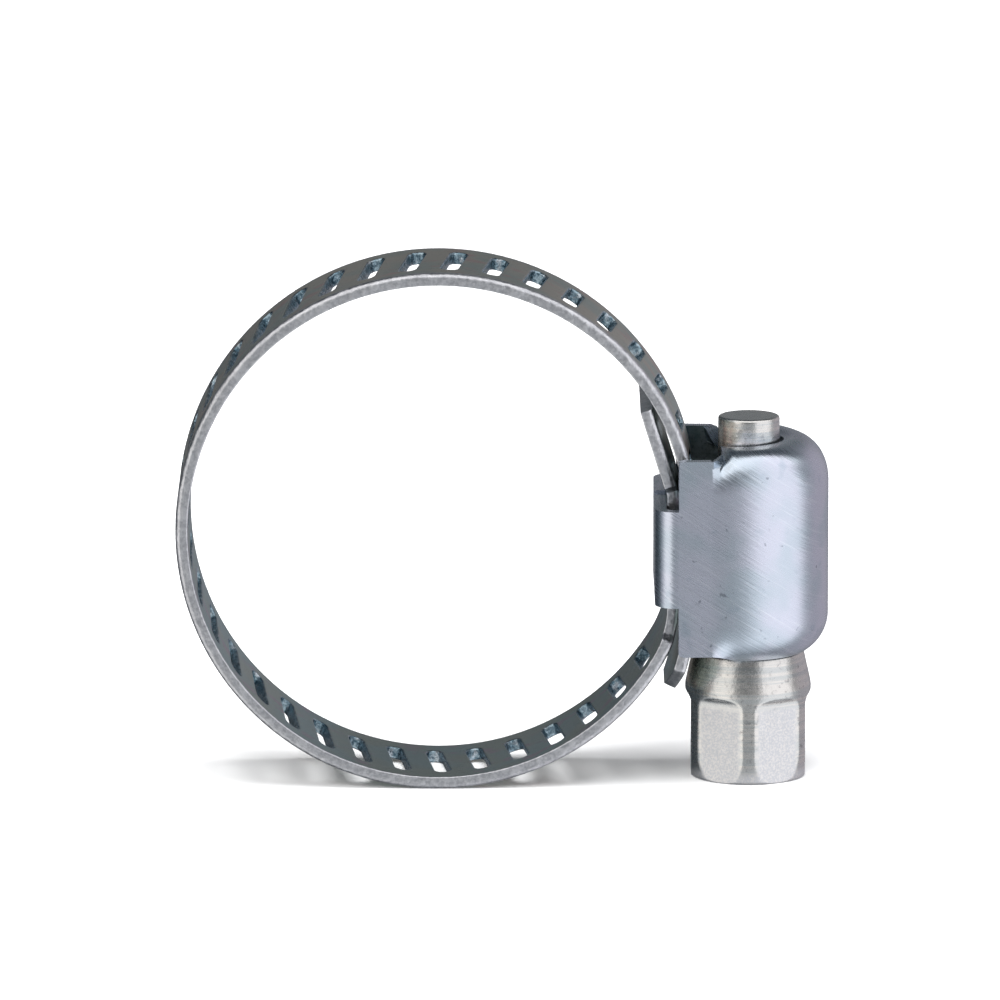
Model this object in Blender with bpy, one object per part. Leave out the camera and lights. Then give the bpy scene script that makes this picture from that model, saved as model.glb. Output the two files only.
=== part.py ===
"""Mini worm-drive hose clamp: a perforated steel band, a stamped housing and a hex-head worm screw.

Units are metres. +Z is up and follows the screw's axis, the ring's axis is along Y, and +X points
from the ring to the housing. The part stands on the ring's lowest point and on the hex head.
The real band is one flexible strip. It is cut here into short hinged sections, so that it can
close around a hose when the screw pulls it through the housing.
"""

from math import atan2, ceil, copysign, cos, hypot, pi, radians, sin, sqrt, tan

import bmesh
import bpy

# ---------------------------------------------------------------- band
BAND_WIDTH = 0.0080
BAND_THICKNESS = 0.00065
RING_OUTER_RADIUS = 0.01375
RING_MID_RADIUS = RING_OUTER_RADIUS - BAND_THICKNESS / 2

SLOT_PITCH = 0.00215
SLOT_LENGTH = 0.0052
SLOT_WIDTH = 0.0012
SLOT_SLANT = radians(6.5)
SLOTS_PER_SECTION = 3
RING_SECTIONS = 11
ENTRY_SLOTS = 2
DRIVE_SLOTS = 2
TAIL_SLOTS = 2
TAIL_STRAIGHT_SLOTS = 1

SECTION_GAP = 0.00018

# Places in the ring's own plane, measured from the ring's centre.
FIXED_LAYER_X = 0.01233
RUNNING_LAYER_X = 0.01314
TONGUE_LENGTH = 0.00466
TONGUE_HEADING = radians(18)
TONGUE_BEND_RADIUS = 0.0010
TONGUE_TOP_Z = 0.00645
SLOT_END_SHARE = 0.8
EAR_LENGTH = 0.00420
NECK_BOTTOM_Z = -0.00590
NECK_INSET = 0.00050
NECK_CORNER = 0.00040
TAIL_BEND_RADIUS = 0.00942
TAIL_LENGTH = 0.00430
TAIL_TAPER_LENGTH = 0.00130
TAIL_TAPER_INSET = 0.00220

# ---------------------------------------------------------------- screw
SCREW_X = 0.01633
WORM_CREST_RADIUS = 0.00340
WORM_ROOT_RADIUS = 0.00255
WORM_CREST_WIDTH = 0.00050
WORM_ROOT_WIDTH = 0.00100
WORM_TOP_Z = 0.00200
WORM_BOTTOM_Z = -0.00545
WORM_STEPS_PER_TURN = 36
WORM_RUN_OUT_TURNS = 0.25
THREAD_FOOT_DEPTH = 0.00015
THREAD_LEAST_RISE = 0.00005
CORE_TOP_Z = 0.00270
CORE_CONE_HEIGHT = 0.00030
CORE_FOOT_LENGTH = 0.00050
CORE_FOOT_HEIGHT = 0.00020
JOURNAL_RADIUS = 0.00162
JOURNAL_TOP_Z = 0.00550
JOURNAL_CHAMFER = 0.00010
NECK_RADIUS = 0.00205
COLLAR_TOP_Z = -0.00700
COLLAR_TOP_RADIUS = 0.00292
COLLAR_RADIUS = 0.00332
COLLAR_BOTTOM_Z = -0.00905
COLLAR_LAND = 0.00025
HEAD_TOP_Z = -0.00943
HEAD_BOTTOM_Z = -RING_OUTER_RADIUS
HEX_ACROSS_FLATS = 0.0060
HEX_CORNER_RADIUS = 0.00328
HEX_TOP_Z = -0.00985
HEX_RUN_OUT = 0.00020
HEAD_ROUND = 0.00050
CUTTER_MARGIN = 0.0010
CUTTER_SPREAD = 2.0
LATHE_SEGMENTS = 48

# ---------------------------------------------------------------- housing
SHEET = 0.0006
FLAP_X = 0.01136
FLAP_TIP_Y = 0.00060
FLAP_TOP_Z = 0.00135
FLAP_BOTTOM_Z = -0.00378
FLAP_BEND_RADIUS = 0.00115
WALL_HALF_WIDTH = 0.00550
WALL_TOP_Z = 0.00402
WALL_BOTTOM_Z = -0.00639
DOME_START_X = 0.01440
DOME_HALF_WIDTH = 0.00540
DOME_CREST_X = 0.02053
DOME_EXPONENT = 2.35
SHOULDER_START_Z = 0.00230
SHOULDER_EXPONENT = 2.5
HOLE_RADIUS = 0.00185
HOLE_EDGE_Z = 0.00418
HOLE_EDGE_TILT = 0.00040
HOLE_OPEN_ANGLE = radians(155)
RIM_START_Z = -0.00490
RIM_Z = -0.00686
RIM_RADIUS = 0.00220
RAMP_LENGTH = 0.00080

# ---------------------------------------------------------------- whole part
RING_CENTRE_X = (RING_OUTER_RADIUS - DOME_CREST_X) / 2
RING_CENTRE_Z = RING_OUTER_RADIUS


# ================================================================ scene helpers
def clear_scene():
    """Remove every object from the scene."""
    for thing in list(bpy.data.objects):
        bpy.data.objects.remove(thing, do_unlink=True)


def metal(name, colour, roughness):
    """A plain metallic Principled material."""
    material = bpy.data.materials.new(name)
    material.use_nodes = True
    shader = material.node_tree.nodes["Principled BSDF"]
    shader.inputs["Base Color"].default_value = (*colour, 1.0)
    shader.inputs["Metallic"].default_value = 1.0
    shader.inputs["Roughness"].default_value = roughness
    material.diffuse_color = (*colour, 1.0)
    return material


def add_object(name, mesh, material, parent, location=(0.0, 0.0, 0.0)):
    """Link a mesh as a named object under its parent, with its origin at the location."""
    thing = bpy.data.objects.new(name, mesh)
    bpy.context.scene.collection.objects.link(thing)
    mesh.materials.clear()
    mesh.materials.append(material)
    thing.parent = parent
    thing.location = location
    return thing


def mesh_from_faces(name, points, faces):
    """A mesh from points and faces, with its normals facing out."""
    mesh = bpy.data.meshes.new(name)
    mesh.from_pydata(points, [], faces)
    work = bmesh.new()
    work.from_mesh(mesh)
    bmesh.ops.recalc_face_normals(work, faces=work.faces)
    if work.calc_volume(signed=True) < 0:
        bmesh.ops.reverse_faces(work, faces=work.faces)
    work.to_mesh(mesh)
    work.free()
    return mesh


def shade_smooth(thing, angle):
    """Shade an object smooth, with edges sharper than the angle kept crisp."""
    thing.data.shade_smooth()
    thing.data.set_sharp_from_angle(angle=angle)


# ================================================================ the band's centreline
def bend_between(start_x, end_x, start_heading, end_heading):
    """The radius that carries the centreline from start_x to end_x while its heading falls."""
    return (end_x - start_x) / (cos(end_heading) - cos(start_heading))


class Centreline:
    """The band's middle line in the XZ plane, as straights and arcs of falling heading.

    The heading is 0 where the band runs straight down, the direction is (sin h, -cos h), and
    (cos h, sin h) points out of the ring.
    """

    def __init__(self, start, heading):
        self.spans = []
        self.place = start
        self.heading = heading
        self.length = 0.0

    def straight(self, length):
        self.spans.append((self.length, self.place, self.heading, None))
        self.place = self.point_on(self.spans[-1], length)[0]
        self.length += length

    def bend(self, radius, end_heading):
        length = radius * (self.heading - end_heading)
        self.spans.append((self.length, self.place, self.heading, radius))
        self.place = self.point_on(self.spans[-1], length)[0]
        self.heading = end_heading
        self.length += length

    @staticmethod
    def point_on(span, along):
        (x, z), heading, radius = span[1:]
        if radius is None:
            return (x + along * sin(heading), z - along * cos(heading)), heading
        new = heading - along / radius
        centre_x = x - radius * cos(heading)
        centre_z = z - radius * sin(heading)
        return (centre_x + radius * cos(new), centre_z + radius * sin(new)), new

    def at(self, along):
        """The point (x, z) and the heading at a distance along the band."""
        chosen = self.spans[0]
        for span in self.spans:
            if span[0] <= along:
                chosen = span
        return self.point_on(chosen, along - chosen[0])

    def place_of(self, along, across, out):
        """The point at a distance along, across the width and out of the middle surface."""
        (x, z), heading = self.at(along)
        return (x + out * cos(heading), across, z + out * sin(heading))


def build_centreline():
    """The whole band from the tongue's end, through the ring and the housing, to the tail.

    Returns the line and the distances at which its sections meet.
    """
    pitch_angle = SLOT_PITCH / RING_MID_RADIUS
    lowest = -pi / 2
    first_heading = lowest + 6.5 * pitch_angle
    ring_slots = RING_SECTIONS * SLOTS_PER_SECTION
    last_heading = first_heading - ring_slots * pitch_angle

    start_x = FIXED_LAYER_X - TONGUE_LENGTH * sin(TONGUE_HEADING)
    start_x -= TONGUE_BEND_RADIUS * (1 - cos(TONGUE_HEADING))
    line = Centreline((start_x, TONGUE_TOP_Z), TONGUE_HEADING)
    line.straight(TONGUE_LENGTH)
    marks = {"tongue_root": line.length}
    line.bend(TONGUE_BEND_RADIUS, 0.0)
    exit_radius = bend_between(line.place[0], RING_MID_RADIUS * cos(first_heading), 0.0, first_heading)
    ring_start_z = RING_MID_RADIUS * sin(first_heading)
    line.straight(line.place[1] - (ring_start_z - exit_radius * sin(first_heading)))
    line.bend(exit_radius, first_heading)
    marks["ring_start"] = line.length
    line.bend(RING_MID_RADIUS, last_heading)
    marks["ring_end"] = line.length
    full_turn = -2 * pi
    line.bend(bend_between(line.place[0], RUNNING_LAYER_X, last_heading, full_turn), full_turn)
    marks["drive_start"] = marks["ring_end"] + ENTRY_SLOTS * SLOT_PITCH
    marks["tail_start"] = marks["drive_start"] + DRIVE_SLOTS * SLOT_PITCH
    line.straight(marks["tail_start"] + TAIL_STRAIGHT_SLOTS * SLOT_PITCH - line.length)
    line.bend(TAIL_BEND_RADIUS, full_turn - TAIL_LENGTH / TAIL_BEND_RADIUS)
    marks["tail_end"] = line.length
    return line, marks


# ================================================================ band pieces
def strip_columns(start, end, slot_count, extra=()):
    """Distances along a strip: the edges of its slots, or evenly spaced where it has none.

    Each column is (distance, slanted, opens_slot).
    """
    columns = []
    for slot in range(slot_count):
        centre = start + (slot + 0.5) * SLOT_PITCH
        columns.append((max(start + SECTION_GAP / 2, centre - SLOT_PITCH / 2), False, False))
        columns.append((centre - SLOT_WIDTH / 2, True, True))
        columns.append((centre + SLOT_WIDTH / 2, True, False))
    plain_start = start + slot_count * SLOT_PITCH
    plain_length = end - plain_start
    if plain_length > SECTION_GAP:
        count = ceil(plain_length / SLOT_PITCH * 2)
        distances = {plain_start + plain_length * step / count for step in range(count)}
        distances.update(place for place in extra if plain_start < place < end)
        for place in sorted(distances):
            columns.append((max(place, start + SECTION_GAP / 2), False, False))
        columns.append((end, False, False))
    else:
        columns.append((end - SECTION_GAP / 2, False, False))
    return columns


def band_mesh(name, line, columns, half_width, origin):
    """A closed strip with slanted slots, wrapped along the centreline.

    Columns run along the strip, and four rows run across it: the two edges and the slots' ends.
    """
    points = []
    for out in (-BAND_THICKNESS / 2, BAND_THICKNESS / 2):
        for along, slanted, _ in columns:
            edge = half_width(along)
            slot_end = min(SLOT_LENGTH / 2, edge * SLOT_END_SHARE)
            for across in (-edge, -slot_end, slot_end, edge):
                shift = across * tan(SLOT_SLANT) if slanted else 0.0
                x, y, z = line.place_of(along + shift, across, out)
                points.append((x - origin[0], y, z - origin[1]))
    layer = len(columns) * 4
    faces = []
    last = len(columns) - 1
    for column in range(last):
        for row in range(3):
            corner = column * 4 + row
            cell = (corner, corner + 1, corner + 5, corner + 4)
            if row == 1 and columns[column][2]:
                for first, second in zip(cell, cell[1:] + cell[:1]):
                    faces.append((first, second, second + layer, first + layer))
            else:
                faces.append(cell)
                faces.append(tuple(reversed([point + layer for point in cell])))
        for row in (0, 3):
            near = column * 4 + row
            faces.append((near, near + 4, near + 4 + layer, near + layer))
    for column in (0, last):
        for row in range(3):
            corner = column * 4 + row
            faces.append((corner, corner + 1, corner + 1 + layer, corner + layer))
    return mesh_from_faces(name, points, faces)


def full_width(_):
    return BAND_WIDTH / 2


def add_band_piece(name, line, columns, half_width, origin, steel, parent):
    """One band node whose origin sits on its hinge, at the middle of the band's thickness."""
    mesh = band_mesh(name, line, columns, half_width, origin)
    piece = add_object(name, mesh, steel, parent, (origin[0], 0.0, origin[1]))
    shade_smooth(piece, radians(35))
    return piece


def add_fixed_end(line, marks, steel, parent):
    """The band's fixed end: a tongue with two ears, and a neck in the flaps with the first bend."""
    neck_half = BAND_WIDTH / 2 - NECK_INSET
    root = marks["tongue_root"]

    def tongue_half(along):
        return neck_half if along >= EAR_LENGTH + NECK_CORNER else BAND_WIDTH / 2

    ear_corners = (EAR_LENGTH, EAR_LENGTH + NECK_CORNER)
    columns = strip_columns(-SECTION_GAP / 2, root - SECTION_GAP / 2, 0, ear_corners)
    add_band_piece("band_tongue", line, columns, tongue_half, line.at(root)[0], steel, parent)

    (_, root_z), _ = line.at(root)
    neck_end = root + root_z - NECK_BOTTOM_Z

    def fixed_half(along):
        return neck_half if along <= neck_end - NECK_CORNER else BAND_WIDTH / 2

    neck_corners = (neck_end - NECK_CORNER, neck_end)
    columns = strip_columns(root, marks["ring_start"] - SECTION_GAP / 2, 0, neck_corners)
    add_band_piece("band_fixed_end", line, columns, fixed_half, (FIXED_LAYER_X, 0.0), steel, parent)


def add_ring_sections(line, marks, steel, parent):
    """The hinged sections of the ring, clockwise from the fixed end to the housing's mouth."""
    length = SLOTS_PER_SECTION * SLOT_PITCH
    for number in range(RING_SECTIONS):
        start = marks["ring_start"] + number * length
        columns = strip_columns(start, start + length, SLOTS_PER_SECTION)
        name = f"band_section_{number + 1:02d}"
        add_band_piece(name, line, columns, full_width, line.at(start)[0], steel, parent)
    start = marks["ring_end"]
    columns = strip_columns(start, marks["drive_start"], ENTRY_SLOTS)
    add_band_piece("band_entry_section", line, columns, full_width, line.at(start)[0], steel, parent)


def add_drive_and_tail(line, marks, steel, parent):
    """The straight stretch in mesh with the worm, and the free tail past the housing."""
    start, end = marks["drive_start"], marks["tail_start"]
    columns = strip_columns(start, end, DRIVE_SLOTS)
    add_band_piece("band_drive_section", line, columns, full_width, line.at(start)[0], steel, parent)

    tip = marks["tail_end"]

    def tapered(along):
        past = max(0.0, along - (tip - TAIL_TAPER_LENGTH))
        return BAND_WIDTH / 2 - TAIL_TAPER_INSET * past / TAIL_TAPER_LENGTH

    columns = strip_columns(end, tip, TAIL_SLOTS, (tip - TAIL_TAPER_LENGTH,))
    add_band_piece("band_tail_tip", line, columns, tapered, line.at(end)[0], steel, parent)


# ================================================================ screw
def lathe_mesh(name, profile, segments):
    """A closed turned body from (radius, z) points that start and end on the axis."""
    points = [(0.0, 0.0, profile[0][1])]
    rings = profile[1:-1]
    for radius, z in rings:
        for step in range(segments):
            angle = 2 * pi * step / segments
            points.append((radius * cos(angle), radius * sin(angle), z))
    points.append((0.0, 0.0, profile[-1][1]))
    faces = []
    for step in range(segments):
        after = (step + 1) % segments
        faces.append((0, 1 + after, 1 + step))
        for ring in range(len(rings) - 1):
            low = 1 + ring * segments
            high = low + segments
            faces.append((low + step, low + after, high + after, high + step))
        last = 1 + (len(rings) - 1) * segments
        faces.append((last + step, last + after, len(points) - 1))
    return mesh_from_faces(name, points, faces)


def worm_mesh(name, meshing_z):
    """The worm's thread alone: a right-hand helix that faces the band's slots at meshing_z."""
    turns = (WORM_TOP_Z - WORM_BOTTOM_Z) / SLOT_PITCH
    steps = round(turns * WORM_STEPS_PER_TURN)
    foot = WORM_ROOT_RADIUS - THREAD_FOOT_DEPTH
    lowest = foot + THREAD_LEAST_RISE
    points = []
    for step in range(steps + 1):
        turn = turns * step / steps
        z = WORM_BOTTOM_Z + turn * SLOT_PITCH
        angle = pi + 2 * pi * (z - meshing_z) / SLOT_PITCH
        rise = min(1.0, turn / WORM_RUN_OUT_TURNS, (turns - turn) / WORM_RUN_OUT_TURNS)
        crest = lowest + (WORM_CREST_RADIUS - lowest) * rise
        for radius, width in ((foot, WORM_ROOT_WIDTH), (crest, WORM_CREST_WIDTH)):
            for side in (-0.5, 0.5):
                points.append((radius * cos(angle), radius * sin(angle), z + side * width))
    faces = [(0, 1, 3, 2), tuple(4 * steps + corner for corner in (2, 3, 1, 0))]
    for step in range(steps):
        low = 4 * step
        for first, second in ((0, 1), (1, 3), (3, 2), (2, 0)):
            faces.append((low + first, low + second, low + 4 + second, low + 4 + first))
    return mesh_from_faces(name, points, faces)


def hex_cutter_mesh(name):
    """A solid that keeps the hexagon below HEX_TOP_Z and the whole turned body above it."""
    profile = []
    corner = HEX_ACROSS_FLATS / 2 / cos(pi / 6)
    for step in range(6):
        angle = -pi / 2 + step * pi / 3
        profile.append((corner * cos(angle), corner * sin(angle)))
    levels = (
        (HEAD_BOTTOM_Z - CUTTER_MARGIN, 1.0),
        (HEX_TOP_Z, 1.0),
        (HEX_TOP_Z + HEX_RUN_OUT, CUTTER_SPREAD),
        (JOURNAL_TOP_Z + CUTTER_MARGIN, CUTTER_SPREAD),
    )
    points = [(x * scale, y * scale, z) for z, scale in levels for x, y in profile]
    faces = [tuple(range(5, -1, -1)), tuple(range(18, 24))]
    for level in range(3):
        low = 6 * level
        for step in range(6):
            after = (step + 1) % 6
            faces.append((low + step, low + after, low + 6 + after, low + 6 + step))
    return mesh_from_faces(name, points, faces)


def screw_profile():
    """The turned outline from the head's end up to the journal's end, as (radius, z)."""
    profile = [(0.0, HEAD_BOTTOM_Z), (HEX_CORNER_RADIUS - HEAD_ROUND, HEAD_BOTTOM_Z)]
    for step in range(1, 4):
        angle = step * pi / 6
        radius = HEX_CORNER_RADIUS - HEAD_ROUND * (1 - sin(angle))
        profile.append((radius, HEAD_BOTTOM_Z + HEAD_ROUND * (1 - cos(angle))))
    core_foot = WORM_BOTTOM_Z - CORE_FOOT_LENGTH
    profile += [
        (HEX_CORNER_RADIUS, HEAD_TOP_Z),
        (COLLAR_RADIUS, COLLAR_BOTTOM_Z),
        (COLLAR_RADIUS, COLLAR_BOTTOM_Z + COLLAR_LAND),
        (COLLAR_TOP_RADIUS, COLLAR_TOP_Z),
        (NECK_RADIUS, COLLAR_TOP_Z),
        (NECK_RADIUS, core_foot - CORE_FOOT_HEIGHT),
        (WORM_ROOT_RADIUS, core_foot),
        (WORM_ROOT_RADIUS, CORE_TOP_Z),
        (JOURNAL_RADIUS, CORE_TOP_Z + CORE_CONE_HEIGHT),
        (JOURNAL_RADIUS, JOURNAL_TOP_Z - JOURNAL_CHAMFER),
        (JOURNAL_RADIUS - JOURNAL_CHAMFER, JOURNAL_TOP_Z),
        (0.0, JOURNAL_TOP_Z),
    ]
    return profile


def add_worm_screw(meshing_z, steel, parent):
    """The screw: hex head, flared collar, neck, worm and the journal that ends in the housing."""
    screw_mesh = lathe_mesh("worm_screw", screw_profile(), LATHE_SEGMENTS)
    screw = add_object("worm_screw", screw_mesh, steel, parent, (SCREW_X, 0.0, 0.0))
    thread = add_object("worm_thread", worm_mesh("worm_thread", meshing_z), steel, screw)
    cutter = add_object("hex_cutter", hex_cutter_mesh("hex_cutter"), steel, screw)
    for tool, operation in ((cutter, "INTERSECT"), (thread, "UNION")):
        tool.hide_render = True
        tool.display_type = "WIRE"
        cut = screw.modifiers.new(tool.name, "BOOLEAN")
        cut.object = tool
        cut.operation = operation
        cut.solver = "EXACT"
    shade_smooth(screw, radians(30))


# ================================================================ housing
def housing_outline():
    """Half of the housing's outer cross-section, from the flap's tip to the dome's crest.

    Each entry is (x, y, part), where part tells the flap, the wall and the dome apart.
    """
    outline = []
    bend_x = FLAP_X + FLAP_BEND_RADIUS
    bend_y = WALL_HALF_WIDTH - FLAP_BEND_RADIUS
    for step in range(3):
        outline.append((FLAP_X, FLAP_TIP_Y + (bend_y - FLAP_TIP_Y) * step / 2, "flap"))
    for step in range(1, 5):
        angle = pi - step * pi / 8
        x = bend_x + FLAP_BEND_RADIUS * cos(angle)
        y = bend_y + FLAP_BEND_RADIUS * sin(angle)
        outline.append((x, y, "flap" if step < 4 else "wall"))
    for step in range(1, 3):
        x = bend_x + (DOME_START_X - bend_x) * step / 2
        y = WALL_HALF_WIDTH + (DOME_HALF_WIDTH - WALL_HALF_WIDTH) * step / 2
        outline.append((x, y, "wall" if step < 2 else "dome"))
    reach = DOME_CREST_X - DOME_START_X
    for step in range(1, 13):
        angle = pi / 2 - step * pi / 24
        x = DOME_START_X + reach * cos(angle) ** (2 / DOME_EXPONENT)
        y = DOME_HALF_WIDTH * max(0.0, sin(angle)) ** (2 / DOME_EXPONENT) if step < 12 else 0.0
        outline.append((x, y, "dome"))
    return outline


def ramp(x):
    """0 at the dome's start and 1 a little further on, with a smooth rise."""
    share = min(1.0, max(0.0, (x - DOME_START_X) / RAMP_LENGTH))
    return share * share * (3 - 2 * share)


def shoulder_point(x, y, angle):
    """A point of the closed end, from the straight wall at angle 0 to the hole at a right angle."""
    share = ramp(x)
    away_x = x - SCREW_X
    power = 2 / SHOULDER_EXPONENT
    inward = share * (1 - max(0.0, cos(angle)) ** power)
    first_angle = atan2(DOME_HALF_WIDTH, DOME_START_X - SCREW_X)
    hole_angle = atan2(y, away_x) * HOLE_OPEN_ANGLE / first_angle
    edge_z = HOLE_EDGE_Z + HOLE_EDGE_TILT * cos(hole_angle)
    top = WALL_TOP_Z + share * (edge_z - WALL_TOP_Z)
    return (
        SCREW_X + away_x + inward * (HOLE_RADIUS * cos(hole_angle) - away_x),
        y + inward * (HOLE_RADIUS * sin(hole_angle) - y),
        SHOULDER_START_Z + (top - SHOULDER_START_Z) * sin(angle) ** power,
    )


def rim_point(x, y, z):
    """A point of the lower edge, which draws in towards the screw as it goes down."""
    share = ramp(x)
    away_x = x - SCREW_X
    drop = RIM_START_Z - z
    inset = share * (RIM_RADIUS - sqrt(RIM_RADIUS**2 - drop**2))
    distance = hypot(away_x, y)
    scale = (distance - inset) / distance
    lowest = RIM_Z + (1 - share) * (WALL_BOTTOM_Z - RIM_Z)
    low_share = drop / (RIM_START_Z - RIM_Z)
    return (SCREW_X + away_x * scale, y * scale, RIM_START_Z + (lowest - RIM_START_Z) * low_share)


def housing_point(x, y, level):
    """The outer surface's point for an outline point and a level.

    Levels are ("z", z) on the straight part, ("shoulder", angle) over the closed end to the hole's
    edge, and ("rim", z) on the lower edge.
    """
    kind, value = level
    if kind == "shoulder":
        return shoulder_point(x, y, value)
    if kind == "rim":
        return rim_point(x, y, value)
    return (x, y, value)


def housing_levels():
    """The levels from the rim to the hole's edge, with the flap's limits among them."""
    levels = [("rim", RIM_START_Z + (RIM_Z - RIM_START_Z) * step / 4) for step in range(4, 0, -1)]
    for z in (RIM_START_Z, FLAP_BOTTOM_Z, (FLAP_BOTTOM_Z + FLAP_TOP_Z) / 2, FLAP_TOP_Z, SHOULDER_START_Z):
        levels.append(("z", z))
    levels += [("shoulder", step * pi / 12) for step in range(1, 7)]
    return levels


def add_housing(steel, parent):
    """The stamped housing: a dome over the screw, two walls, and two flaps under the fixed end."""
    half = housing_outline()
    mirrored = [(x, -y, part) for x, y, part in half[:-1]]
    outline = mirrored + list(reversed(half))
    levels = housing_levels()
    flap_levels = [levels.index(("z", FLAP_BOTTOM_Z)), levels.index(("z", FLAP_TOP_Z))]
    points = []
    for x, y, _ in outline:
        for level in levels:
            point_x, point_y, point_z = housing_point(x, abs(y), level)
            points.append((point_x, copysign(point_y, y), point_z))
    rows = len(levels)
    faces = []
    for column in range(len(outline) - 1):
        is_flap = "flap" in (outline[column][2], outline[column + 1][2])
        first, last = (flap_levels[0], flap_levels[1]) if is_flap else (0, rows - 1)
        for row in range(first, last):
            corner = column * rows + row
            faces.append((corner, corner + rows, corner + rows + 1, corner + 1))
    mesh = bpy.data.meshes.new("housing")
    mesh.from_pydata(points, [], faces)
    work = bmesh.new()
    work.from_mesh(mesh)
    loose = [vertex for vertex in work.verts if not vertex.link_faces]
    bmesh.ops.delete(work, geom=loose, context="VERTS")
    work.to_mesh(mesh)
    work.free()
    housing = add_object("housing", mesh, steel, parent)
    shell = housing.modifiers.new("sheet_thickness", "SOLIDIFY")
    shell.thickness = SHEET
    shell.offset = -1.0
    shell.use_even_offset = True
    shade_smooth(housing, radians(40))


# ================================================================ assembly
def build():
    clear_scene()
    parent = bpy.data.objects.new("ring_centre", None)
    parent.location = (RING_CENTRE_X, 0.0, RING_CENTRE_Z)
    bpy.context.scene.collection.objects.link(parent)

    band_steel = metal("band_zinc", (0.42, 0.41, 0.39), 0.34)
    housing_steel = metal("housing_zinc", (0.66, 0.70, 0.75), 0.26)
    screw_steel = metal("screw_zinc", (0.60, 0.60, 0.57), 0.30)

    line, marks = build_centreline()
    add_fixed_end(line, marks, band_steel, parent)
    add_ring_sections(line, marks, band_steel, parent)
    add_drive_and_tail(line, marks, band_steel, parent)
    meshing_z = line.at(marks["tail_start"] - SLOT_PITCH / 2)[0][1]
    add_worm_screw(meshing_z, screw_steel, parent)
    add_housing(housing_steel, parent)


build()
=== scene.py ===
from math import acos, atan2, ceil, copysign, cos, hypot, pi, radians, sin, sqrt

import bmesh
import bpy
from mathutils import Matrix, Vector


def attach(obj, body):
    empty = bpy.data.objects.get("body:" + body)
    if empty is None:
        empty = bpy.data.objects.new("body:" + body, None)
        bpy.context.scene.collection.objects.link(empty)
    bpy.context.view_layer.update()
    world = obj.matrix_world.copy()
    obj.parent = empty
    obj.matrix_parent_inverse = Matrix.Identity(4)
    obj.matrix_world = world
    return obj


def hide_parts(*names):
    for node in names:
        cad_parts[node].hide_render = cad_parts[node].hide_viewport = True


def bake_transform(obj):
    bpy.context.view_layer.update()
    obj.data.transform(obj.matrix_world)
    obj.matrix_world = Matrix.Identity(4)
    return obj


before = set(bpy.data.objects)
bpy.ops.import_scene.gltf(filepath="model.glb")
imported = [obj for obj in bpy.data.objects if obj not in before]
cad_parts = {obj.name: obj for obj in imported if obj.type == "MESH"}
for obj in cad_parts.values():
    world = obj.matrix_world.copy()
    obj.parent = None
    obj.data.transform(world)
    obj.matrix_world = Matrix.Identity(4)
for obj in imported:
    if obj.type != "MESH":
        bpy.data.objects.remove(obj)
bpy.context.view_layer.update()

# ---------------------------------------------------------------- band (metres)
BAND_WIDTH = 0.0080
BAND_THICKNESS = 0.00065
RING_OUTER_RADIUS = 0.01375
RING_MID_RADIUS = RING_OUTER_RADIUS - BAND_THICKNESS / 2
SLOT_PITCH = 0.00215
SLOT_LENGTH = 0.0052
SLOT_WIDTH = 0.00084
SLOT_SLANT = radians(6.5)
SLOTS_PER_SECTION = 3
RING_SECTIONS = 11
RING_START_SLOTS = 6.5
ENTRY_SLOTS = 2
DRIVE_SLOTS = 2
TAIL_SLOTS = 2
TAIL_STRAIGHT_SLOTS = 1
FIXED_LAYER_X = 0.01233
RUNNING_LAYER_X = 0.01314
TONGUE_LENGTH = 0.00466
TONGUE_HEADING = radians(17.3)
TONGUE_BEND_RADIUS = 0.0010
TONGUE_TOP_Z = 0.00645
TONGUE_BLEND_REACH = 0.0008
TONGUE_SEAM_REACH = 0.0022
EAR_LENGTH = 0.00420
NECK_BOTTOM_Z = -0.00590
NECK_INSET = 0.00050
NECK_CORNER = 0.00040
TAIL_BEND_RADIUS = 0.00942
TAIL_LENGTH = 0.00430
TAIL_TAPER_LENGTH = 0.00130
TAIL_TAPER_INSET = 0.00220

OUTER_RIM_ROUND = 0.00013
INNER_RIM_ROUND = 0.00011
OUTER_EDGE_ROUND = 0.00027
INNER_EDGE_ROUND = 0.00008
SLOT_ROW = 0.00318
SIDE_STEPS = 16
CELL_STEPS = 8
ROUND_STEPS = 4
SEAM_SLOT = 2
BLEND_REACH = 0.0017
PLACES_PER_METRE = 1e7
UV_PER_METRE = 100.0
MM_PER_METRE = 1000.0

# ---------------------------------------------------------------- screw
SCREW_X = 0.01633
WORM_CREST_RADIUS = 0.00340
WORM_ROOT_RADIUS = 0.00255
WORM_CREST_WIDTH = 0.00050
WORM_ROOT_WIDTH = 0.00100
WORM_TOP_Z = 0.00200
WORM_BOTTOM_Z = -0.00545
WORM_RUN_OUT = 0.00055
ROOT_START_Z = WORM_BOTTOM_Z - 0.0005
CORE_TOP_Z = 0.00270
JOURNAL_RADIUS = 0.00162
JOURNAL_START_Z = CORE_TOP_Z + 0.0003
JOURNAL_TOP_Z = 0.00550
JOURNAL_ROUND = 0.00018
NECK_RADIUS = 0.00205
NECK_END_Z = WORM_BOTTOM_Z - 0.0007
COLLAR_TOP_Z = -0.00700
COLLAR_TOP_RADIUS = 0.00292
COLLAR_RADIUS = 0.00332
COLLAR_BOTTOM_Z = -0.00905
COLLAR_LAND = 0.00025
COLLAR_FOOT_ROUND = 0.00010
COLLAR_ROUND = 0.00012
HEAD_TOP_Z = -0.00943
HEAD_BOTTOM_Z = -RING_OUTER_RADIUS
HEX_ACROSS_FLATS = 0.0060
HEX_CORNER_RADIUS = 0.00328
HEX_TOP_Z = -0.00985
HEAD_END_RADIUS = 0.00310
HEAD_END_ROUND = 0.00028
HEAD_TAPER_HEIGHT = 0.00100
HEAD_TAPER_ROUND = 0.00100
FLAT_RUN_OUT_START_Z = -0.01005
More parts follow.
